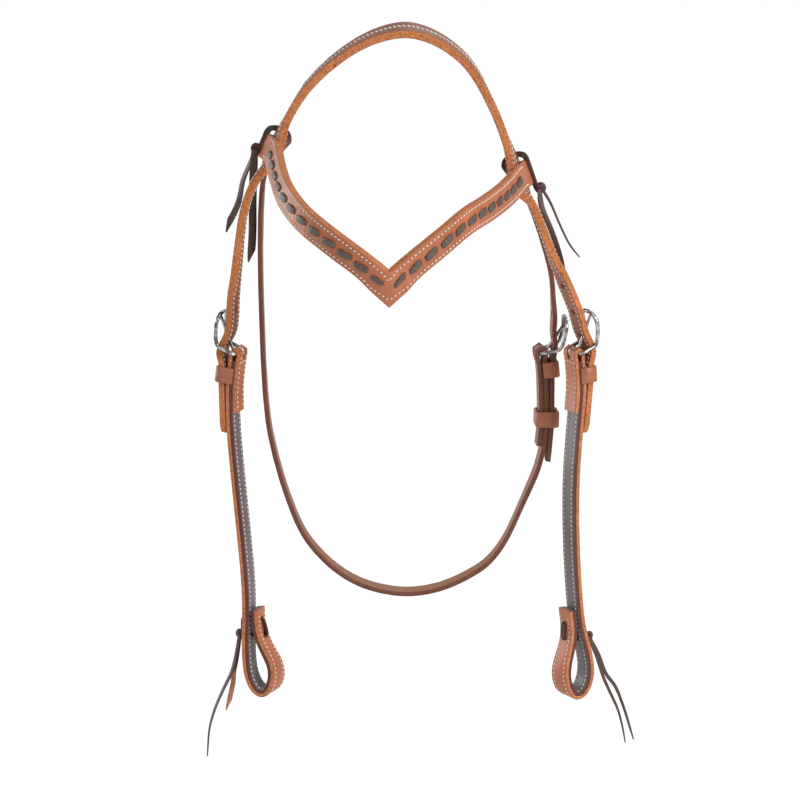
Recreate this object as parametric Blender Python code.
"""A western headstall: a V browband on a split crown, two buckled cheeks with bit loops, and a throatlatch.

The origin is the underside of the crown at the poll. X runs to the right of the bridle as it faces the
viewer, Y runs back towards the neck and Z is up. All lengths are in metres.
"""
import math
from bisect import bisect_right
from collections import namedtuple

import bmesh
import bpy
from mathutils import Matrix, Vector

# Leather
STRAP_WIDTH = 0.016
LAYER = 0.0026
BILLET_LAYER = 0.0021
THROAT_LAYER = 0.0034
KEEPER_LAYER = 0.0018
SEAM = 0.0003
ARRIS = 0.0005
TAIL_SPLIT = 0.001
TIP_LENGTH = 0.011
TIP_WIDTH = 0.005

# Crown
CROWN_SPAN = 0.09
CROWN_DROP = 0.09
POLL_WIDTH = 0.038
POLL_FORWARD = 0.0025
POLL_TILT = math.radians(4.5)

# Tunnels in which the crown's tails pass through the browband
TUNNEL_OUT = {-1: 0.093, 1: 0.0807}
TUNNEL_DROP = {-1: 0.0825, 1: 0.1015}
TUNNEL_SLANT = {-1: math.radians(25), 1: math.radians(21)}
TUNNEL_YAW = math.radians(11)
TUNNEL_PLAY = 0.0008
TAB_WIDTH = 0.0178

# Browband
BAND_WIDTH = 0.0188
BAND_LAYER = 0.0025
BAND_REACH = 0.126
BAND_SPREAD = 0.092
BAND_TIP_OUT = -0.0109
BAND_TIP_DROP = 0.158
BAND_LEAN = math.radians(20)
BAND_RISE = 0.08
MITRE = 0.03

# Buckstitching
STITCH_COUNT = 12
FIRST_STITCH = 0.0084
LAST_STITCH_ROOM = 0.0044
STITCH_LENGTH = 0.0098
BUCK_WIDTH = 0.0058
BUCK_THICK = 0.0009
BUCK_BEND = 0.0008
SLIT_WIDTH = 0.002
CHANNEL_DIP = 0.0006

# Cheeks and buckles
CHEEK_LENGTH = 0.255
BAR_OUT = {-1: 0.1188, 1: 0.1206}
BAR_DROP = 0.2256
CHEEK_FORWARD = 0.01
CHEEK_YAW = {-1: math.radians(17), 1: math.radians(27)}
CHAPE_LENGTH = 0.044
LOOP_TWIST = math.radians(18)
WIRE_RADIUS = 0.0016
TONGUE_RADIUS = 0.0013
FRAME_REACH = 0.0285
FRAME_PLAY = 0.00075
TONGUE_PAST = 0.003
ROCK_RANGE = math.radians(4)
TONGUE_RANGE = math.radians(8)
HOLE_WIDTH = 0.0046
HOLE_LENGTH = 0.0045
HOLE_SPACING = 0.021
KEEPER_WIDTH = 0.0115
KEEPER_DROP = 0.0165
KEEPER_PLAY = 0.0005
KEEPER_ROOM = 0.0014
KEEPER_BEND = 0.00135
THROAT_KEEPER_DROP = 0.0132
THROAT_KEEPER_ROOM = 0.0024
LEG_TOP = 0.0055
SLOT_DROP = 0.0053
THROAT_LEG_TOP = 0.009
THROAT_SLOT_DROP = 0.0066
SEAT_ROOM = 0.002
BILLET_TAIL = 0.062

# Throatlatch and its buckle
THROAT_SPAN = 0.1
THROAT_DROP = 0.411
THROAT_BAR_OUT = 0.0979
THROAT_BAR_DROP = 0.2308
THROAT_BACK = 0.02
THROAT_YAW = math.radians(4)
THROAT_LEAN = math.radians(14)
THROAT_CHAPE = 0.07
THROAT_TAIL = 0.083
SLIDER_DROP = 0.0495

# Dark lace
LACE_WIDTH = 0.0038
LACE_THICK = 0.0011
LACE_TURNS = 1.25
LACE_CORNER = 0.0013
COIL_RADIUS = 0.0026
BROW_KNOT_DROP = {-1: 0.004, 1: 0.013}
TAIL_LACE = 0.003
TAIL_SPAN = 0.1

# Fineness of the curved pieces
FINE = 8
BEND = math.radians(17)
SAG = 0.00008
CLOSE = 0.0012
LONG_STEP = 0.022

# Shares of a route's length: where either end of a fold's slot lies, and where its last stretch starts
FOLD_SIDE = 0.3
LAST_STRETCH = 0.9

UP = Vector((0, 0, 1))
BACK = Vector((0, 1, 0))

Ring = namedtuple("Ring", "centre across face half thick")


def clear_scene():
    for old in list(bpy.data.objects):
        bpy.data.objects.remove(old, do_unlink=True)


def material(name, colour, roughness, metallic=0.0):
    made = bpy.data.materials.new(name)
    made.use_nodes = True
    shader = made.node_tree.nodes["Principled BSDF"]
    shader.inputs["Base Color"].default_value = (*colour, 1.0)
    shader.inputs["Roughness"].default_value = roughness
    shader.inputs["Metallic"].default_value = metallic
    made.diffuse_color = (*colour, 1.0)
    return made


def gather(name, origin, members):
    """An empty at a joint's own place, which carries the pieces that move together."""
    empty = bpy.data.objects.new(name, None)
    bpy.context.scene.collection.objects.link(empty)
    empty.location = origin
    for member in members:
        member.parent = empty
        member.location -= Vector(origin)


# Smooth lines

def knot(point, hint, half=STRAP_WIDTH / 2, thick=LAYER):
    """A place on a strap: its point, which way its width runs, half its width and its thickness."""
    return Vector((*point, *hint, half, thick))


def spline(knots, fine=FINE):
    """A smooth curve through the knots, with the same number of samples on each span."""
    gaps = [math.sqrt(math.dist(a[:3], b[:3])) for a, b in zip(knots, knots[1:])]
    rises = [(b - a) / gap for a, b, gap in zip(knots, knots[1:], gaps)]
    slopes = [rises[0]]
    for i in range(1, len(gaps)):
        slopes.append((rises[i - 1] * gaps[i] + rises[i] * gaps[i - 1]) / (gaps[i - 1] + gaps[i]))
    slopes.append(rises[-1])
    samples = []
    for i, gap in enumerate(gaps):
        for j in range(fine):
            t = j / fine
            samples.append(knots[i] * (1 - t) ** 2 * (1 + 2 * t) + slopes[i] * gap * t * (1 - t) ** 2
                           + knots[i + 1] * t ** 2 * (3 - 2 * t) - slopes[i + 1] * gap * t ** 2 * (1 - t))
    return [*samples, knots[-1]]


class Route:
    """A strap's smooth centre line, measured along its length. Face is +1 or -1 for the grain side."""

    def __init__(self, knots, face=1):
        self.samples = spline(knots)
        self.points = [Vector(s[:3]) for s in self.samples]
        self.places = [0.0]
        for a, b in zip(self.points, self.points[1:]):
            self.places.append(self.places[-1] + (b - a).length)
        last = len(self.points) - 1
        self.tangents = [(self.points[min(i + 1, last)] - self.points[max(i - 1, 0)]).normalized()
                         for i in range(last + 1)]
        self.length = self.places[-1]
        self.side = face

    def span(self, place):
        i = min(max(bisect_right(self.places, place) - 1, 0), len(self.points) - 2)
        return i, (place - self.places[i]) / (self.places[i + 1] - self.places[i])

    def at(self, place, layer=0, offset=0.0):
        """The ring at a place: of layer 1 or -1 of a doubled strap, or shifted to the grain side."""
        i, share = self.span(place)
        sample = self.samples[i].lerp(self.samples[i + 1], share)
        tangent = self.tangents[i].lerp(self.tangents[i + 1], share).normalized()
        shift = offset + layer * (sample[7] + SEAM) / 2
        return make_ring(Vector(sample[:3]), tangent, Vector(sample[3:6]), sample[6], sample[7],
                         self.side, shift)

    def tangent(self, place):
        i, share = self.span(place)
        return self.tangents[i].lerp(self.tangents[i + 1], share).normalized()

    def near(self, point, start=0.0, end=None):
        """The place on the line that lies nearest to a point."""
        end = self.length if end is None else end
        best = (math.inf, 0.0)
        for i in range(len(self.points) - 1):
            run = self.points[i + 1] - self.points[i]
            share = min(max((point - self.points[i]).dot(run) / run.length_squared, 0), 1)
            place = self.places[i] + share * run.length
            if start <= place <= end:
                best = min(best, ((self.points[i] + run * share - point).length, place))
        return best[1]

    def stops(self, start, end, marks=()):
        """Places for rings from start to end: far apart where straight, closer where the strap bends."""
        places = [start]
        for place in self.places:
            if start < place < end:
                run = place - places[-1]
                turned = self.tangent(place).angle(self.tangent(places[-1]))
                if run >= LONG_STEP or turned >= BEND or run * turned / 8 >= SAG:
                    places.append(place)
        marks = [start, end, *marks]
        kept = [p for p in places if all(abs(p - m) > CLOSE for m in marks)]
        return sorted(set(kept + marks))


def make_ring(centre, tangent, hint, half, thick, side, offset=0.0):
    across = (hint - tangent * hint.dot(tangent)).normalized()
    face = tangent.cross(across) * side
    return Ring(centre + face * offset, across, face, half, thick)


# Leather bodies

def section(ring, slot, arris, dips):
    """The upper and lower corners of a strap's section. Dips hollow the middle of either side."""
    half, rise = ring.half, ring.thick / 2
    if slot:
        inner = slot / 2
        spec = ((-half, rise, rise), (-inner, rise - dips[0], rise - dips[1]),
                (inner, rise - dips[0], rise - dips[1]), (half, rise, rise))
    else:
        low = rise - arris
        spec = ((-half, low, low), (arris - half, rise, rise), (half - arris, rise, rise), (half, low, low))
    top = [ring.centre + ring.across * x + ring.face * up for x, up, _ in spec]
    bottom = [ring.centre + ring.across * x - ring.face * down for x, _, down in spec]
    return top, bottom


def slab(name, rings, look, slot=0.0, windows=(), closed=False, arris=ARRIS, dips=(0, 0)):
    """One closed leather body through the rings, open in its middle column between a window's rings."""
    shape = bmesh.new()
    rows = []
    for ring in rings:
        top, bottom = section(ring, slot, arris, dips)
        rows.append(([shape.verts.new(p) for p in top], [shape.verts.new(p) for p in bottom]))
    opened = {i for first, last in windows for i in range(first, last)}
    count = len(rows)
    for i in range(count if closed else count - 1):
        near, far = rows[i], rows[(i + 1) % count]
        for k in range(3):
            if k != 1 or i not in opened:
                for face in (0, 1):
                    shape.faces.new((near[face][k], far[face][k], far[face][k + 1], near[face][k + 1]))
        for k in (0, 1, 2, 3) if i in opened else (0, 3):
            shape.faces.new((near[0][k], far[0][k], far[1][k], near[1][k]))
    for i in [i for window in windows for i in window]:
        shape.faces.new((rows[i][0][1], rows[i][0][2], rows[i][1][2], rows[i][1][1]))
    if not closed:
        for top, bottom in (rows[0], rows[-1]):
            for k in range(3):
                shape.faces.new((top[k], top[k + 1], bottom[k + 1], bottom[k]))
    return body(name, shape, look)


def body(name, shape, look):
    bmesh.ops.recalc_face_normals(shape, faces=shape.faces)
    mesh = bpy.data.meshes.new(name)
    shape.to_mesh(mesh)
    shape.free()
    mesh.shade_smooth()
    mesh.set_sharp_from_angle(angle=BEND * 2)
    mesh.materials.append(look)
    made = bpy.data.objects.new(name, mesh)
    bpy.context.scene.collection.objects.link(made)
    return made


def strap(name, route, look, start=0.0, end=None, layer=0, holes=(), slot=0.0, shape=None,
          marks=(), seat=()):
    """A leather strap along a route, from start to end, with holes given as pairs of places."""
    end = route.length if end is None else end
    ends = [place for hole in holes for place in hole]
    places = route.stops(start, end, [*ends, *marks, *seat])
    if seat:
        places = [p for p in places if not seat[0] < p < seat[1]]
    rings = [route.at(place, layer) for place in places]
    if shape:
        rings = [shape(ring, place) for ring, place in zip(rings, places)]
    windows = [(places.index(first), places.index(last)) for first, last in holes]
    return slab(name, rings, look, slot, windows)


def tube(name, points, radius, look, cyclic=False, resolution=2):
    """A round wire or cord through the points."""
    curve = bpy.data.curves.new(name, "CURVE")
    curve.dimensions = "3D"
    curve.bevel_depth = radius
    curve.bevel_resolution = resolution
    curve.use_fill_caps = not cyclic
    line = curve.splines.new("POLY")
    line.points.add(len(points) - 1)
    for place, point in zip(line.points, points):
        place.co = (*point, 1)
    line.use_cyclic_u = cyclic
    curve.materials.append(look)
    made = bpy.data.objects.new(name, curve)
    bpy.context.scene.collection.objects.link(made)
    return made


def pointed(tips):
    """A ring shaper that narrows a strap to a point at each of its tips."""
    def shaped(ring, place):
        near = min([abs(place - tip) for tip in tips] + [TIP_LENGTH])
        share = math.sin(math.pi / 2 * near / TIP_LENGTH)
        half = TIP_WIDTH / 2 + (ring.half - TIP_WIDTH / 2) * share
        return ring._replace(half=half)
    return shaped


def tip_marks(tip, into):
    return [tip + into * TIP_LENGTH * share for share in (0.33, 0.66, 1)]


# Places of the buckles and tunnels

class Station:
    """A buckle's place: the centre of its bar, out from the horse, up, and front towards the viewer."""

    def __init__(self, side, out, forward, drop, yaw):
        self.side = side
        self.origin = Vector((side * out, -forward, -drop))
        self.out = Vector((side * math.cos(yaw), math.sin(yaw), 0))
        self.front = Vector((side * math.sin(yaw), -math.cos(yaw), 0))

    def point(self, out, up, front=0.0):
        return self.origin + self.out * out + UP * up + self.front * front

    def turned(self, angle):
        """The strap's width direction, turned about the vertical so that its inner face comes forward."""
        return self.front * math.cos(angle) + self.out * math.sin(angle)

    def place(self, made, lean=0.0):
        made.location = self.origin
        turn = Matrix.Rotation(math.atan2(self.out.y, self.out.x), 4, "Z") @ Matrix.Rotation(lean, 4, "Y")
        made.rotation_euler = turn.to_euler()


class Tunnel:
    """Where the crown's two tails pass through the browband's wrapped end: out, back and up the tails."""

    def __init__(self, side):
        slant = TUNNEL_SLANT[side]
        self.side = side
        self.origin = Vector((side * TUNNEL_OUT[side], 0, -TUNNEL_DROP[side]))
        turn = Matrix.Rotation(-TUNNEL_YAW, 3, "Z") @ Matrix.Rotation(-slant, 3, "Y")
        mirror = Matrix.Diagonal((side, 1, 1))
        self.out = mirror @ turn @ Vector((1, 0, 0))
        self.back = mirror @ turn @ Vector((0, 1, 0))
        self.up = mirror @ turn @ Vector((0, 0, 1))

    def point(self, out, back, up):
        return self.origin + self.out * out + self.back * back + self.up * up


# Crown, its tails and the cheeks' centre lines

TAIL_CENTRE = (STRAP_WIDTH + TAIL_SPLIT) / 2

# Below and above the middle of a tunnel, as shares of its length
GATE_SHARES = (-0.55, 0.5)

# Where the rear tails split from the crown: out and down as shares of its span and drop
SHOULDER_SHARES = {-1: (0.80, 0.47), 1: (0.62, 0.44)}

# Share of the crown's span and drop, from the poll out to the tunnels
CROWN_SHARES = {
    -1: ((0.27, 0.041), (0.55, 0.211), (0.79, 0.45), (0.935, 0.70)),
    1: ((0.23, 0.037), (0.47, 0.211), (0.665, 0.52), (0.80, 0.86)),
}

# The billets from the tunnels down to the buckles, on the same scale
BILLET_SHARES = {
    -1: ((1.145, 1.10), (1.22, 1.24), (1.273, 1.42), (1.308, 1.67), (1.334, 1.90)),
    1: ((0.985, 1.30), (1.094, 1.55), (1.167, 1.748)),
}

# The billets through the buckles: out and up, as shares of the frame's reach
BUCKLED_SHARES = {
    -1: ((0.12, 1.40), (0.145, 0.86), (0.20, 0.50), (0.335, 0.24), (0.43, 0.0)),
    1: ((-0.26, 1.70), (0.05, 1.02), (0.19, 0.54), (0.345, 0.24), (0.43, 0.0)),
}

# The cheeks from the buckle to the return of the bit loop: out as a share of the strap's width, and
# down as a share of the cheek's length. The two places between LOOP_SEAT are the level seat of the bit.
CHEEK_SHARES = {
    -1: ((0.225, 0.055), (0.294, 0.098), (0.30, 0.157), (0.26, 0.235), (0.0, 0.42), (-0.275, 0.604),
         (-0.363, 0.69), (-0.363, 0.769), (-0.331, 0.835), (-0.338, 0.878), (-0.425, 0.93),
         (-0.66, 0.968), (-0.97, 0.985), (-1.20, 0.985), (-1.50, 0.968), (-1.656, 0.935), (-1.56, 0.899),
         (-1.25, 0.863), (-0.98, 0.827), (-0.83, 0.79), (-0.79, 0.741)),
    1: ((0.2125, 0.055), (0.25, 0.102), (0.1625, 0.176), (0.0375, 0.267), (-0.056, 0.369),
        (-0.0375, 0.51), (0.103, 0.659), (0.269, 0.761), (0.475, 0.8235), (0.719, 0.876),
        (0.844, 0.935), (0.66, 0.981), (0.33, 1.0), (0.08, 1.0), (-0.25, 0.982), (-0.45, 0.941),
        (-0.369, 0.898), (-0.18, 0.859), (-0.07, 0.816), (-0.15, 0.769), (-0.20, 0.745)),
}
LOOP_SEAT = (12, 13)
TWIST_KNOTS = 3
TIE_SHARES = {-1: (0.772, 0.820), 1: (0.789, 0.833)}

# The throatlatch: out and down as shares of its span and drop
THROAT_SHARES = ((-1.015, 0.268), (-1.034, 0.373), (-1.028, 0.502), (-1.008, 0.632), (-0.974, 0.706),
                 (-0.866, 0.81), (-0.744, 0.885), (-0.636, 0.922), (-0.512, 0.952), (-0.365, 0.976),
                 (-0.197, 0.9915), (0.024, 0.999), (0.259, 0.990), (0.465, 0.968), (0.604, 0.945),
                 (0.728, 0.906), (0.843, 0.845))

# The throat billet from its tunnel to the buckle: out and down as shares of the throatlatch's
THROAT_BILLET_SHARES = ((0.905, 0.305), (0.985, 0.362), (1.052, 0.423), (1.07, 0.47))

# The throat billet through the buckle and the stack below it, as shares of the frame's reach
THROAT_BUCKLED_SHARES = ((0.347, 0.90), (0.325, 0.50), (0.372, 0.18))
THROAT_STACK_SHARES = ((0.0, 0.0), (0.015, -0.21), (0.05, -0.53), (0.075, -1.02), (0.085, -1.58),
                       (0.07, -2.1), (0.0, -2.6), (-0.1, -3.0))
THROAT_TAIL_SHARES = ((0.13, 1.2), (0.24, 0.8), (0.4, 0.3), (0.62, 0.4), (0.8, 0.1), (1.0, 0.1))

# The billet's tail below the bar: share of its length, and of the room in the keeper beside the stack
BILLET_TAIL_SHARES = ((1.0, 0.1), (0.72, 0.1), (0.48, 0.2), (0.32, 0.8), (0.17, 1.3))


def station(side):
    return Station(side, BAR_OUT[side], CHEEK_FORWARD, BAR_DROP, CHEEK_YAW[side])


def throat_station():
    return Station(1, THROAT_BAR_OUT, -THROAT_BACK, THROAT_BAR_DROP, THROAT_YAW)


def cheek_route(side):
    """The middle of the doubled cheek, from just under the bar to the end of the bit loop's return."""
    here = station(side)
    knots = [knot(here.point((LAYER + SEAM) / 2, 0), here.front)]
    shares = CHEEK_SHARES[side]
    for i, (out, down) in enumerate(shares):
        past = min(max(i - LOOP_SEAT[0], 0) / TWIST_KNOTS, 1)
        fade = min(max((len(shares) - 1 - TWIST_KNOTS - i) / TWIST_KNOTS, 0), 1)
        hint = here.turned(LOOP_TWIST * past * fade)
        if i in LOOP_SEAT:
            hint = here.front
        knots.append(knot(here.point(out * STRAP_WIDTH, -down * CHEEK_LENGTH), hint))
    return Route(knots, face=-side)


def stacked(route, depth, offset):
    """A point beside the cheek's stack, at a depth below the bar."""
    return route.at(depth, offset=offset).centre


def billet_knots(side):
    """The front tail of the crown from its tip, up through the keeper and the buckle, to the tunnel."""
    here = station(side)
    route = cheek_route(side)
    thick = BILLET_LAYER * 2 + SEAM
    beside = (LAYER * 2 + SEAM) / 2 + SEAM + thick / 2
    knots = []
    for share, lift in BILLET_TAIL_SHARES:
        point = stacked(route, BILLET_TAIL * share, beside + KEEPER_ROOM * lift)
        knots.append(knot(point, here.front, thick=BILLET_LAYER))
    for out, up in reversed(BUCKLED_SHARES[side]):
        knots.append(knot(here.point(out * FRAME_REACH, up * FRAME_REACH), here.front,
                          thick=BILLET_LAYER))
    count = len(BILLET_SHARES[side])
    for i, (out, down) in enumerate(reversed(BILLET_SHARES[side])):
        share = 1 - (i + 1) / (count + 1)
        turned = share ** 4
        hint = here.front * turned - BACK * (1 - turned)
        y = -CHEEK_FORWARD * share - TAIL_CENTRE * (1 - share)
        knots.append(knot((side * out * CROWN_SPAN, y, -down * CROWN_DROP), hint))
    gate = Tunnel(side)
    for share in GATE_SHARES:
        knots.append(knot(gate.point(0, -TAIL_CENTRE, TAB_WIDTH * share), -gate.back))
    return knots


def crown_knots(side):
    """The front lane of the crown from a tunnel up towards the poll."""
    knots = []
    for out, down in reversed(CROWN_SHARES[side]):
        share = 1 - out
        y = -TAIL_CENTRE - POLL_FORWARD * share
        hint = -BACK * math.cos(POLL_TILT * share) - UP * math.sin(POLL_TILT * share)
        knots.append(knot((side * out * CROWN_SPAN, y, -down * CROWN_DROP), hint))
    return knots


def crown_route():
    """The crown's front lane, from the left billet's tip over the poll to the right billet's tip."""
    lane = POLL_WIDTH / 2 - STRAP_WIDTH / 2
    rise = LAYER + SEAM / 2 - lane * math.sin(POLL_TILT)
    poll = knot((0, -lane, rise), -BACK * math.cos(POLL_TILT) - UP * math.sin(POLL_TILT))
    left = billet_knots(-1) + crown_knots(-1)
    right = billet_knots(1) + crown_knots(1)
    return Route([*left, poll, *reversed(right)], face=-1)


def poll_shape(route):
    """Widens the front lane to the whole poll between the places where the rear tails split off."""
    middle = route.near(Vector((0, 0, 0)))
    split = {}
    for side, (out, down) in SHOULDER_SHARES.items():
        split[side] = route.near(Vector((side * out * CROWN_SPAN, -TAIL_CENTRE, -down * CROWN_DROP)))
    ends = (split[-1], split[-1] + ARRIS, split[1] - ARRIS, split[1])
    narrow = STRAP_WIDTH * 2 + TAIL_SPLIT

    def shaped(ring, place):
        if not ends[1] - SEAM / 3 < place < ends[2] + SEAM / 3:
            return ring
        reach = abs(place - middle) / (ends[2] - ends[1]) * 2
        width = narrow + (POLL_WIDTH - narrow) * math.cos(min(reach, 1) * math.pi / 2) ** 2
        return ring._replace(centre=ring.centre - ring.across * (width - STRAP_WIDTH) / 2, half=width / 2)
    return shaped, ends


def tongue_hole(route, here, lean=0.0, thick=BILLET_LAYER * 2 + SEAM):
    """The places between which the tongue's swing crosses a billet, so its hole leaves it free."""
    _, shaft, across = tongue_line()
    found = []
    for swing in (lean, lean + ROCK_RANGE + TONGUE_RANGE):
        turn = Matrix.Rotation(swing, 2)
        for edge in (-1, 1):
            for face in (-1, 1):
                found.append(crossing(route, here, shaft, across, swing, edge * TONGUE_RADIUS,
                                      face * thick / 2))
    return min(found) - SEAM * 2, max(found) + SEAM * 2


def tongue_line():
    """The tongue's lean from the vertical, its direction as out and up, and its outward normal."""
    head = Vector(FRAME_SHARES[-1])
    lean = math.atan2(head.x, head.y)
    return lean, Vector((math.sin(lean), math.cos(lean))), Vector((math.cos(lean), -math.sin(lean)))


def crossing(route, here, shaft, across, swing, edge, face):
    """The place where one edge of the swung tongue meets one face of a billet."""
    cos, sin = math.cos(swing), math.sin(swing)
    along = here.out * (shaft.x * cos + shaft.y * sin) + UP * (shaft.y * cos - shaft.x * sin)
    side = here.out * (across.x * cos + across.y * sin) + UP * (across.y * cos - across.x * sin)
    ring = WIRE_RADIUS + SEAM + TONGUE_RADIUS
    start, end = [route.near(here.point(out * FRAME_REACH, up * FRAME_REACH)) for out, up in PIERCED_SHARES]
    low, high = min(start, end), max(start, end)
    best = (math.inf, low)
    for i in range(200):
        place = low + (high - low) * i / 200
        gap = (route.at(place, offset=face).centre - here.origin).dot(side) - ring - edge
        best = min(best, (abs(gap), place))
    return best[1]


# Buckles

# The stretch of a billet that the tongue may pierce: out and up as shares of the frame's reach
PIERCED_SHARES = ((0.43, 0.0), (0.145, 0.9))

# The bent frame from its bar to its head: out and up as shares of its reach
FRAME_SHARES = ((0.0, 0.0), (0.025, 0.006), (0.12, 0.045), (0.25, 0.11), (0.42, 0.19), (0.466, 0.32),
                (0.475, 0.55), (0.455, 0.78), (0.395, 0.965), (0.386, 1.0))
# How far each of those places lies from the middle, as a share of the frame's half width
FRAME_SPREAD_SHARES = (0.82, 0.93, 1.0, 1.0, 1.0, 1.0, 1.0, 0.97, 0.66, 0.3)


def frame_points():
    """The closed line of the frame's wire: along the bar, up one bent arm, round the head and back."""
    half = STRAP_WIDTH / 2 + FRAME_PLAY + WIRE_RADIUS
    one = []
    for (out, up), spread in zip(FRAME_SHARES, FRAME_SPREAD_SHARES):
        one.append(Vector((out * FRAME_REACH, spread * half, up * FRAME_REACH)))
    other = [Vector((p.x, -p.y, p.z)) for p in reversed(one)]
    return spline([*one, *other], 2)


def tongue_points():
    """The tongue's wire: a hook round the bar, then a straight shaft over the frame's head."""
    lean, shaft, across = tongue_line()
    ring = WIRE_RADIUS + SEAM + TONGUE_RADIUS
    clear = math.acos(1 - (TONGUE_RADIUS * 2 + SEAM) / ring)
    points = []
    turns = 12
    for i in range(turns + 1):
        angle = lean + math.pi / 2 + (2 * math.pi - clear) * (1 - i / turns)
        points.append(Vector((math.sin(angle) * ring, 0, math.cos(angle) * ring)))
    tip = across * ring + shaft * (FRAME_REACH + TONGUE_PAST)
    points += [points[-1].lerp(Vector((tip.x, 0, tip.y)), share) for share in (0.5, 1)]
    return points


def buckle(prefix, here, steel, lean=0.0):
    """A frame that rocks on its bar, and a tongue that lifts about the same bar."""
    frame = tube(prefix + "_frame", frame_points(), WIRE_RADIUS, steel, cyclic=True)
    here.place(frame, lean)
    tongue = tube(prefix + "_tongue", tongue_points(), TONGUE_RADIUS, steel)
    tongue.parent = frame
    return frame


# Cheeks

def flipped(ring):
    """The same ring for a layer that runs the other way, with its grain on the far side."""
    return ring._replace(face=-ring.face)


def fold_rings(here, first, last, radius, thick, slot_low):
    """Rings over the bar between two legs, and the pair of places of the tongue's slot in them."""
    knots = [knot(first.centre, here.front, thick=thick)]
    sign = 1 if here.side * (first.centre - last.centre).x > 0 else -1
    for i in range(7):
        angle = math.pi * i / 6
        point = here.point(sign * math.cos(angle) * radius, math.sin(angle) * radius)
        knots.append(knot(point, here.front, thick=thick))
    knots.append(knot(last.centre, here.front, thick=thick))
    route = Route(knots, face=-here.side * -sign)
    slot = (route.near(here.point(sign * radius, -slot_low), 0.0, route.length * FOLD_SIDE),
            route.near(here.point(-sign * radius, -slot_low), route.length * (1 - FOLD_SIDE)))
    places = route.stops(0.0, route.length, slot)
    return [route.at(place) for place in places[1:-1]], [places.index(place) - 1 for place in slot]


def tie_holes(side, middle):
    """The lace's holes on the way down and on the return, as pairs of places."""
    here = station(side)
    bottom = seat_places(side, middle)[0]
    holes = []
    for share in TIE_SHARES[side]:
        for start, end in ((0.0, bottom), (bottom, middle.length)):
            centre = level_place(middle, here, share * CHEEK_LENGTH, start, end)
            holes.append((centre - HOLE_LENGTH / 2, centre + HOLE_LENGTH / 2))
    return sorted(holes)


def level_place(route, here, depth, start, end):
    """The place between start and end where a route is at a depth below the bar."""
    low, high = (start, end) if route.at(start).centre.z > route.at(end).centre.z else (end, start)
    for _ in range(40):
        half = (low + high) / 2
        if here.origin.z - route.at(half).centre.z < depth:
            low = half
        else:
            high = half
    return half


def seat_points(side):
    """The two ends of the level seat at the bottom of a bit loop."""
    here = station(side)
    shares = [CHEEK_SHARES[side][i] for i in LOOP_SEAT]
    return [here.point(out * STRAP_WIDTH, -down * CHEEK_LENGTH) for out, down in shares]


def seat_places(side, middle):
    return [middle.near(point) for point in seat_points(side)]


def cheek_ring(side, middle, place, layer):
    """A ring of one layer of the cheek, level at the two ends of the bit's seat."""
    points = seat_points(side)
    for point in points:
        if abs(middle.near(point) - place) < CLOSE / 2:
            chord = (points[1] - points[0]).normalized()
            return make_ring(point, chord, station(side).front, STRAP_WIDTH / 2, LAYER, -side,
                             layer * (LAYER + SEAM) / 2)
    return middle.at(place, layer)


def cheek_places(side, middle):
    """Places for the rings of both layers, and the pairs among them between which the lace passes."""
    holes = tie_holes(side, middle)
    seat = seat_places(side, middle)
    marks = [place for hole in holes for place in hole]
    places = middle.stops(LEG_TOP, middle.length, [*marks, *seat, CHAPE_LENGTH])
    places = [p for p in places if p in seat or not seat[0] - SEAT_ROOM < p < seat[1] + SEAT_ROOM]
    return places, [(places.index(first), places.index(last)) for first, last in holes]


def cheek(side, word, looks):
    """The russet layer runs from its inner leg over the bar, down the cheek and round the bit loop."""
    here = station(side)
    middle = cheek_route(side)
    places, holes = cheek_places(side, middle)
    liner = [cheek_ring(side, middle, place, -1) for place in places]
    main = [cheek_ring(side, middle, place, 1) for place in places]
    leg = [flipped(middle.at(place, offset=-(LAYER + SEAM) * 1.5)) for place in reversed(places)
           if place <= CHAPE_LENGTH]
    fold, slot = fold_rings(here, leg[-1], main[0], WIRE_RADIUS + SEAM + LAYER / 2, LAYER, SLOT_DROP)
    skip = len(leg) + len(fold)
    windows = [tuple(len(leg) + i for i in slot), *[(skip + a, skip + b) for a, b in holes]]
    slab(word + "_cheek_outer", leg + fold + main, looks["russet"], HOLE_WIDTH, windows)
    slab(word + "_cheek_liner", liner, looks["dark"], HOLE_WIDTH, holes)
    keeper(word + "_cheek_keeper", middle.at(KEEPER_DROP), -LAYER - SEAM / 2,
           LAYER + BILLET_LAYER * 2 + SEAM * 2 + KEEPER_ROOM, looks["russet"])
    bit_tie(side, word, middle, looks["lace"])


def keeper(name, ring, inner, outer, look, closed=False):
    """A leather loop round a stack: out past one edge, across the outer side and back past the other."""
    reach = ring.half + KEEPER_PLAY + KEEPER_LAYER / 2
    rise = outer + KEEPER_PLAY + KEEPER_LAYER / 2
    bend = KEEPER_BEND
    low = inner
    if closed:
        low = inner - KEEPER_PLAY - KEEPER_LAYER / 2 + bend
    path = [(reach, low), (reach, rise - bend), (reach - bend, rise)]
    path += [(-a, o) for a, o in reversed(path)]
    if closed:
        path += [(bend - reach, low - bend), (reach - bend, low - bend)]
    corners = [ring.centre + ring.across * a + ring.face * o for a, o in path]
    count = len(corners)
    rings = []
    for i, here in enumerate(corners):
        before = corners[i - 1] if closed or i else here
        after = corners[(i + 1) % count] if closed or i + 1 < count else here
        tangent = (after - before).normalized()
        up = ring.across.cross(ring.face)
        rings.append(make_ring(here, tangent, up, KEEPER_WIDTH / 2, KEEPER_LAYER, 1))
    return slab(name, rings, look, closed=closed)


# Lace ties

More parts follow.
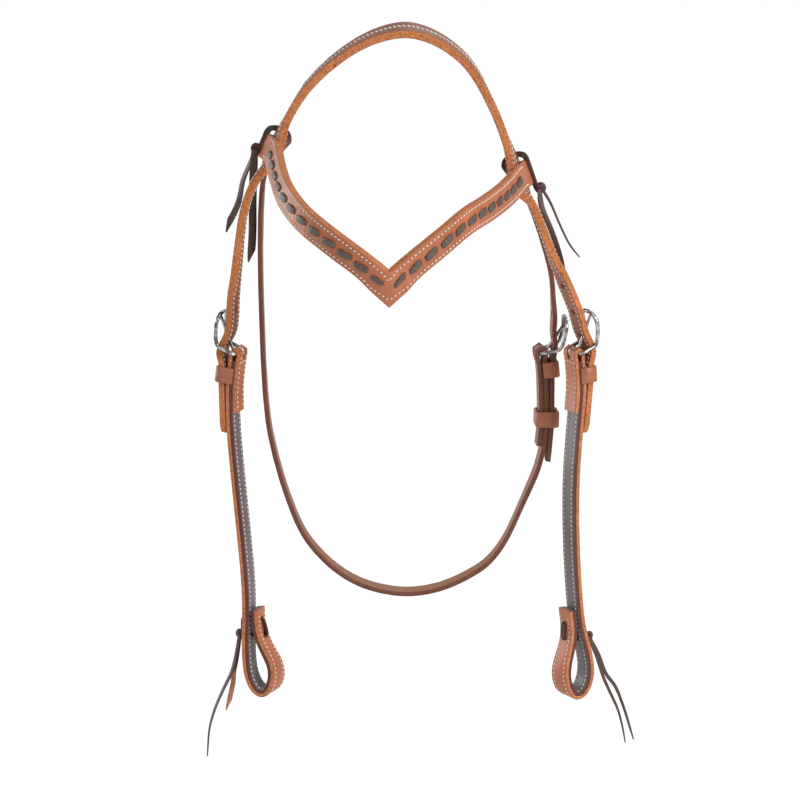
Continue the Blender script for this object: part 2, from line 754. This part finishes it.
def coil(centre, out, up, across, radius):
    """The rolled knot of a tie: a spiral that ends beside the strap, on its way up."""
    knots = []
    count = round(LACE_TURNS * 8)
    inner = radius - LACE_TURNS * (LACE_THICK + SEAM)
    for i in range(count + 1):
        angle = math.pi + 2 * math.pi * LACE_TURNS * (1 - i / count)
        grown = inner + (radius - inner) * i / count
        point = centre + out * math.cos(angle) * grown + up * math.sin(angle) * grown
        knots.append(knot(point, across, LACE_WIDTH / 2, LACE_THICK))
    return knots


def bit_tie(side, word, middle, look):
    """The lace that closes the bit loop: rolled outside, in through the upper holes and out again below."""
    here = station(side)
    bottom = seat_places(side, middle)[0]
    gap = LAYER + SEAM * 3 + LACE_THICK / 2
    corner = LACE_CORNER
    outs, ins = [], []
    for share in TIE_SHARES[side]:
        depth = share * CHEEK_LENGTH
        outs.append(out_of(here, middle.at(level_place(middle, here, depth, 0.0, bottom)).centre) + gap)
        back = level_place(middle, here, depth, bottom, middle.length)
        ins.append(out_of(here, middle.at(back).centre) - gap)
    top, low = [-share * CHEEK_LENGTH for share in TIE_SHARES[side]]
    roll = here.point(outs[1] + COIL_RADIUS, low)
    knots = coil(roll, here.out, UP, here.front, COIL_RADIUS)
    path = [(outs[1] * 0.5 + outs[0] * 0.5, (top + low) / 2), (outs[0], top - corner),
            (outs[0] - corner, top), ((outs[0] + ins[0]) / 2, top), (ins[0] + corner, top),
            (ins[0], top - corner), (ins[1], low + corner), (ins[1] + corner, low),
            ((outs[1] + ins[1]) / 2, low), (outs[1] - gap, low)]
    knots += [knot(here.point(out, up), here.front, LACE_WIDTH / 2, LACE_THICK) for out, up in path]
    strap(word + "_bit_tie", Route(knots), look)
    tails(word + "_bit", roll, look)


def out_of(here, point):
    return (point - here.origin).dot(here.out)


# Browband

# How far the wrap's middle lies from the middle of the tails, outside and inside them
TAB_OUT = LAYER + TUNNEL_PLAY

# The wrap's outer and inner legs, from front to back and forward again, as shares of the tails' rear edge
TAB_OUTER_SHARES = (-1.04, -0.5, 0.2, 0.75)
TAB_INNER_SHARES = (0.6, 0.1, -0.3)

# The arms from the tip to the last stitch: out, back and up as shares of spread, reach and drop
BAND_SHARES = {
    -1: ((0.19, 0.026, 0.17), (0.43, 0.095, 0.36), (0.63, 0.234, 0.515), (0.766, 0.412, 0.665),
         (0.837, 0.615, 0.811), (0.873, 0.772, 0.92)),
    1: ((0.165, 0.015, 0.16), (0.39, 0.072, 0.36), (0.568, 0.20, 0.5), (0.726, 0.388, 0.569),
        (0.86, 0.60, 0.629), (0.945, 0.767, 0.68)),
}

def band_arm(side):
    """Half of the browband's centre line, from the tip to the end of its wrap inside the tunnel."""
    gate = Tunnel(side)
    knots = [knot(band_tip(), band_up(), BAND_WIDTH / 2, BAND_LAYER)]
    shares = BAND_SHARES[side]
    for i, (out, back, rise) in enumerate(shares):
        hint = band_up().lerp(gate.up, (i + 1) / (len(shares) + 1))
        point = band_tip() + Vector((side * out * BAND_SPREAD, back * BAND_REACH, rise * BAND_RISE))
        half = BAND_WIDTH + (TAB_WIDTH - BAND_WIDTH) * max(i - 2, 0) / 4
        knots.append(knot(point, hint, half / 2, BAND_LAYER))
    rear = tails_rear()
    places = [(TAB_OUT, rear * share) for share in TAB_OUTER_SHARES]
    for i in range(5):
        angle = math.pi * i / 4
        places.append((TAB_OUT * math.cos(angle), rear + TAB_OUT * math.sin(angle)))
    places += [(-TAB_OUT, rear * share) for share in TAB_INNER_SHARES]
    knots += [knot(gate.point(out, back, 0), gate.up, TAB_WIDTH / 2, BAND_LAYER) for out, back in places]
    return Route(knots, face=side)


def band_tip():
    return Vector((BAND_TIP_OUT, -BAND_REACH, -BAND_TIP_DROP))


def band_up():
    return (UP * math.cos(BAND_LEAN) - BACK * math.sin(BAND_LEAN)).normalized()


def tails_rear():
    return STRAP_WIDTH + TAIL_SPLIT / 2


class Band:
    """The whole browband. Places run from minus on the left arm through 0 at the tip to the right."""

    def __init__(self):
        self.arms = {side: band_arm(side) for side in (-1, 1)}

    def at(self, place, layer=0):
        """A ring whose width leans towards the tip's own line near the tip, as a mitre does."""
        side = -1 if place < 0 else 1
        route = self.arms[side]
        ring = route.at(abs(place), layer)
        if place == 0:
            face = Vector((1, 0, 0)).cross(band_up())
            half = ring.half / math.sqrt(1 - band_up().dot(route.tangent(0)) ** 2)
            centre = band_tip() + face * layer * (ring.thick + SEAM) / 2
            return Ring(centre, band_up(), face, half, ring.thick)
        tangent = route.tangent(abs(place))
        share = min(abs(place) / MITRE, 1)
        lean = math.asin(band_up().dot(tangent)) * (1 - share * share * (3 - 2 * share))
        across = ring.across * math.cos(lean) + tangent * math.sin(lean)
        return ring._replace(across=across, half=ring.half / math.cos(lean))

    def stops(self, ends, marks=()):
        """Places for rings between the two ends."""
        left = self.arms[-1].stops(0.0, -ends[0], [-m for m in marks if m < 0])
        right = self.arms[1].stops(0.0, ends[1], [m for m in marks if m > 0])
        return [-p for p in reversed(left[1:])] + right


def stitch_slits(arm, side):
    """The places of the slits of one arm's buckstitches, in pairs, spread up to the crown's tails."""
    end = arm.near(Tunnel(side).point(TAB_OUT, -tails_rear(), 0)) - LAST_STITCH_ROOM
    pitch = (end - FIRST_STITCH - STITCH_LENGTH / 2) / (STITCH_COUNT - 1)
    centres = [FIRST_STITCH + pitch * i for i in range(STITCH_COUNT)]
    return [(side * (c - STITCH_LENGTH / 2), side * (c + STITCH_LENGTH / 2)) for c in centres]


def slit_hole(band, slit):
    """A slit's two edges, wider where the mitre at the tip slants them."""
    half = SLIT_WIDTH / 2 * band.at(slit).half * 2 / BAND_WIDTH
    return slit - half, slit + half


def browband(looks):
    band = Band()
    holes, lasts = [], []
    for side in (-1, 1):
        arm = band.arms[side]
        slits = [slit for pair in stitch_slits(arm, side) for slit in pair]
        holes += [slit_hole(band, slit) for slit in slits]
        lasts.append(slits[-1] + side * SLIT_WIDTH)
        gate = Tunnel(side)
        place = arm.near(gate.point(-TAB_OUT, tails_rear() * TIE_BACK_SHARE, 0), arm.length - TAB_WIDTH * 2)
        holes.append(tuple(sorted((side * (place - HOLE_LENGTH / 2), side * (place + HOLE_LENGTH / 2)))))
    ends = (-band.arms[-1].length, band.arms[1].length)
    marks = [place for hole in holes for place in hole]
    places = band.stops(ends, marks)
    windows = [(places.index(a), places.index(b)) for a, b in holes]
    slot = BUCK_WIDTH + SEAM * 2
    pieces = [slab("browband_outer", [band.at(p, 1) for p in places], looks["russet"], slot, windows,
                   dips=(0, CHANNEL_DIP))]
    places = [lasts[0], *[p for p in places if lasts[0] < p < lasts[1]], lasts[1]]
    pieces.append(slab("browband_lining", [band.at(p, -1) for p in places], looks["dark"], slot,
                       dips=(CHANNEL_DIP, 0)))
    for side, word in ((-1, "left"), (1, "right")):
        pieces.append(buckstitch(band, side, word, looks["buck"]))
        pieces += brow_tie(side, word, looks["lace"])
    gather("browband_hinge", Tunnel(-1).origin, pieces)


def buckstitch(band, side, word, look):
    """One dark lace woven through the slits of an arm, over the face and back through the channel."""
    high = BAND_LAYER + SEAM * 1.5 + BUCK_THICK / 2
    bend = BUCK_BEND
    pairs = [(abs(a), abs(b)) for a, b in stitch_slits(band.arms[side], side)]
    path = []
    for first, last in pairs:
        path += [(first - bend, 0), (first, bend), (first, high - bend), (first + bend, high),
                 ((first + last) / 2, high + SEAM), (last - bend, high), (last, high - bend),
                 (last, bend), (last + bend, 0)]
    path = path[1:-1]
    spots = []
    for place, rise in path:
        ring = band.at(side * place)
        half = BUCK_WIDTH / 2 * min(BAND_WIDTH / 2 / ring.half, 1)
        spots.append((ring.centre + ring.face * rise, ring.across, half))
    rings = []
    for i, (point, across, half) in enumerate(spots):
        before = spots[max(i - 1, 0)][0]
        after = spots[min(i + 1, len(spots) - 1)][0]
        face = (after - before).cross(across).normalized()
        rings.append(Ring(point, across, face, half, BUCK_THICK))
    return flat_slab(word + "_buckstitch_lace", rings, look)


def flat_slab(name, rings, look):
    """A thin lace with four plain corners."""
    shape = bmesh.new()
    rows = []
    for ring in rings:
        side, rise = ring.across * ring.half, ring.face * ring.thick / 2
        corners = (ring.centre - side - rise, ring.centre + side - rise, ring.centre + side + rise,
                   ring.centre - side + rise)
        rows.append([shape.verts.new(p) for p in corners])
    for near, far in zip(rows, rows[1:]):
        for k in range(4):
            shape.faces.new((near[k], near[(k + 1) % 4], far[(k + 1) % 4], far[k]))
    shape.faces.new(rows[0])
    shape.faces.new(rows[-1])
    return body(name, shape, look)


TIE_BACK_SHARE = 0.667

# The brow tie from its roll over the tails to its hole: shares of the run, the tails' rear and the tab
ARCH_SHARES = ((1.02, 0.85, 0.0), (1.0, 0.85, 0.6), (1.02, 0.88, 1.0), (0.72, 1.12, 1.42), (0.0, 1.26, 1.6),
               (-0.72, 1.12, 1.42), (-1.02, 0.88, 1.0), (-1.0, 0.73, 0.4), (-0.92, 0.68, 0.06),
               (-0.66, 0.667, 0.0))

# Lace tails from just under their rolls: right, back and up as shares of a tail's length
TAIL_SHARES = {
    "left_brow": (((-0.01, 0.02, -0.035), (-0.045, 0.035, -0.107), (-0.10, 0.045, -0.245),
                   (-0.14, 0.045, -0.418), (-0.237, 0.045, -0.606)),
                  ((-0.012, -0.015, -0.035), (-0.022, -0.024, -0.207), (-0.028, -0.024, -0.386),
                   (-0.031, -0.024, -0.602), (-0.047, -0.024, -0.819))),
    "right_brow": (((0.012, 0.02, -0.035), (0.075, 0.04, -0.12), (0.14, 0.05, -0.269),
                    (0.212, 0.06, -0.416), (0.288, 0.06, -0.514)),
                   ((-0.01, -0.015, -0.035), (0.01, -0.028, -0.142), (0.08, -0.038, -0.31),
                    (0.138, -0.048, -0.478), (0.173, -0.048, -0.617))),
    "left_bit": (((-0.006, -0.02, -0.033), (-0.03, -0.022, -0.16), (-0.065, -0.03, -0.288),
                  (-0.128, -0.03, -0.421), (-0.189, -0.03, -0.566), (-0.231, -0.03, -0.719),
                  (-0.249, -0.03, -0.926)),
                 ((-0.004, 0.016, -0.033), (-0.026, 0.018, -0.17), (-0.05, 0.018, -0.299),
                  (-0.057, 0.018, -0.383), (-0.088, 0.018, -0.528), (-0.10, 0.018, -0.597))),
    "right_bit": (((0.006, -0.02, -0.033), (0.063, -0.026, -0.15), (0.108, -0.034, -0.292),
                   (0.153, -0.036, -0.399), (0.221, -0.036, -0.549), (0.26, -0.036, -0.69),
                   (0.282, -0.036, -0.805)),
                  ((0.008, 0.016, -0.033), (0.08, 0.019, -0.156), (0.134, 0.022, -0.295),
                   (0.209, 0.024, -0.402), (0.262, 0.024, -0.533), (0.305, 0.024, -0.664),
                   (0.346, 0.024, -0.81))),
}


def tails(name, roll, look):
    """Two free lace ends that hang from a tie's roll."""
    made = []
    for number, shares in enumerate(TAIL_SHARES[name]):
        knots = [knot(roll + Vector(share) * TAIL_SPAN, BACK) for share in shares]
        route = Route(knots)
        count = math.ceil(route.length / (TAIL_LACE * 2.5))
        points = [route.at(route.length * i / count).centre for i in range(count + 1)]
        made.append(tube(name + "_tail_" + "ab"[number], points, TAIL_LACE / 2, look))
    return made


def brow_tie(side, word, look):
    """The lace that holds the browband's wrap: rolled outside, over behind the tails, and in again."""
    gate = Tunnel(side)
    run = TAB_OUT + BAND_LAYER + SEAM * 1.5 + LACE_THICK / 2
    rear = tails_rear()
    centre = gate.point(run + COIL_RADIUS, rear * ARCH_SHARES[0][1], -BROW_KNOT_DROP[side])
    knots = coil(centre, gate.out, gate.up, gate.back, COIL_RADIUS)
    for out, back, up in ARCH_SHARES:
        tilt = max(up - 0.9, 0)
        hint = gate.back - gate.up * tilt * (1 if out > 0 else -1) if out else gate.back
        knots.append(knot(gate.point(run * out, rear * back, TAB_WIDTH / 2 * up), hint, LACE_WIDTH / 2,
                          LACE_THICK))
    return [strap(word + "_brow_tie", Route(knots), look), *tails(word + "_brow", centre, look)]


# Crown and throatlatch

def crown(looks):
    route = crown_route()
    shape, ends = poll_shape(route)
    tips = pointed((0.0, route.length))

    def both(ring, place):
        return tips(shape(ring, place), place)
    holes = []
    for side in (-1, 1):
        first, last = tongue_hole(route, station(side))
        holes.append((first, last))
        towards = 1 if side < 0 else -1
        middle = (first + last) / 2
        for i in (-1, 1, 2):
            centre = middle + towards * HOLE_SPACING * i
            holes.append((centre - HOLE_LENGTH / 2, centre + HOLE_LENGTH / 2))
    marks = [*ends, *tip_marks(0.0, 1), *tip_marks(route.length, -1)]
    for name, layer in (("crown_outer", 1), ("crown_lining", -1)):
        strap(name, route, looks["crown"], layer=layer, holes=holes, slot=HOLE_WIDTH, shape=both,
              marks=marks)
    return route, ends


def rear_tail(route, place):
    """A knot of a rear tail beside the crown's front lane."""
    ring = route.at(place)
    centre = ring.centre - ring.across * (STRAP_WIDTH + TAIL_SPLIT)
    return knot(centre, -BACK, thick=THROAT_LAYER)


def gate_knots(side):
    gate = Tunnel(side)
    return [knot(gate.point(0, TAIL_CENTRE, up), -gate.back, thick=THROAT_LAYER)
            for up in (TAB_WIDTH / 2, -TAB_WIDTH / 2)]


def throat_stack():
    """The middle of the doubled throat strap below its buckle."""
    here = throat_station()
    knots = [knot(here.point(out * FRAME_REACH, up * FRAME_REACH), here.front, thick=THROAT_LAYER)
             for out, up in THROAT_STACK_SHARES]
    return Route(knots, face=-1)


def throat_legs(stack):
    """Places for the rings of both legs and of the billet's tail, all along the one stack."""
    return stack.stops(THROAT_LEG_TOP, stack.length, [THROAT_CHAPE])


def throatlatch(crown_line, ends, looks):
    here = throat_station()
    stack = throat_stack()
    places = throat_legs(stack)
    outer = [stack.at(place, 1) for place in reversed(places)]
    inner = [flipped(stack.at(place, -1)) for place in places if place <= THROAT_CHAPE]
    fold, slot = fold_rings(here, outer[-1], inner[0], WIRE_RADIUS + SEAM + THROAT_LAYER / 2,
                            THROAT_LAYER, THROAT_SLOT_DROP)
    knots = [rear_tail(crown_line, ends[0] - SEAM), *gate_knots(-1)]
    count = len(THROAT_SHARES)
    for i, (out, down) in enumerate(THROAT_SHARES):
        share = (i + 1) / count
        y = TAIL_CENTRE + (THROAT_BACK - TAIL_CENTRE) * share
        knots.append(knot((out * THROAT_SPAN, y, -down * THROAT_DROP), -BACK, thick=THROAT_LAYER))
    knots += [knot(ring.centre, here.front, thick=THROAT_LAYER) for ring in outer[:4]]
    route = Route(knots)
    end = route.near(outer[0].centre, route.length * LAST_STRETCH)
    rings = [route.at(place) for place in route.stops(0.0, end - LONG_STEP / 4)]
    skip = len(rings) + len(outer)
    slab("throatlatch_strap", rings + outer + fold + inner, looks["throat"], HOLE_WIDTH,
         [tuple(skip + i for i in slot)])
    rise = THROAT_LAYER * 2 + SEAM * 2
    keeper("throat_fixed_keeper", stack.at(THROAT_KEEPER_DROP), SEAM / 2, rise + THROAT_KEEPER_ROOM,
           looks["russet"])
    slider = keeper("throat_sliding_keeper", stack.at(SLIDER_DROP), -THROAT_LAYER - SEAM / 2,
                    rise + KEEPER_ROOM, looks["russet"], closed=True)
    gather("throat_slider_line", stack.at(SLIDER_DROP).centre, [slider])
    return stack


def throat_billet(crown_line, ends, stack, looks):
    here = throat_station()
    knots = [rear_tail(crown_line, ends[3] + SEAM), *gate_knots(1)]
    count = len(THROAT_BILLET_SHARES)
    for i, (out, down) in enumerate(THROAT_BILLET_SHARES):
        share = (i + 1) / count
        y = TAIL_CENTRE + (THROAT_BACK - TAIL_CENTRE) * share
        knots.append(knot((out * THROAT_SPAN, y, -down * THROAT_DROP), -BACK, thick=THROAT_LAYER))
    for out, up in THROAT_BUCKLED_SHARES:
        knots.append(knot(here.point(out * FRAME_REACH, up * FRAME_REACH), here.front,
                          thick=THROAT_LAYER))
    beside = (THROAT_LAYER + SEAM) * 1.5
    for share, lift in THROAT_TAIL_SHARES:
        ring = stack.at(THROAT_TAIL * share, offset=beside + KEEPER_ROOM * lift)
        knots.append(knot(ring.centre, here.front, thick=THROAT_LAYER))
    route = Route(knots, face=-1)
    hole = tongue_hole(route, here, THROAT_LEAN, THROAT_LAYER)
    middle = sum(hole) / 2
    holes = [hole]
    for i in (-2, -1, 1):
        centre = middle + HOLE_SPACING * i
        holes.append((centre - HOLE_LENGTH / 2, centre + HOLE_LENGTH / 2))
    strap("throat_billet", route, looks["throat"], holes=holes, slot=HOLE_WIDTH,
          shape=pointed((route.length,)), marks=tip_marks(route.length, -1))


def build():
    clear_scene()
    looks = {
        "russet": material("russet_leather", (0.30, 0.095, 0.045), 0.5),
        "crown": material("crown_leather", (0.21, 0.075, 0.04), 0.5),
        "throat": material("throat_leather", (0.25, 0.07, 0.04), 0.5),
        "dark": material("dark_lining", (0.055, 0.035, 0.033), 0.65),
        "lace": material("dark_lace", (0.05, 0.026, 0.02), 0.6),
        "buck": material("buckstitch_lace", (0.045, 0.038, 0.034), 0.6),
        "steel": material("bright_steel", (0.72, 0.72, 0.70), 0.22, 1.0),
    }
    crown_line, ends = crown(looks)
    stack = throatlatch(crown_line, ends, looks)
    throat_billet(crown_line, ends, stack, looks)
    buckle("throat_buckle", throat_station(), looks["steel"], THROAT_LEAN)
    browband(looks)
    for side, word in ((-1, "left"), (1, "right")):
        cheek(side, word, looks)
        buckle(word + "_cheek_buckle", station(side), looks["steel"])


build()
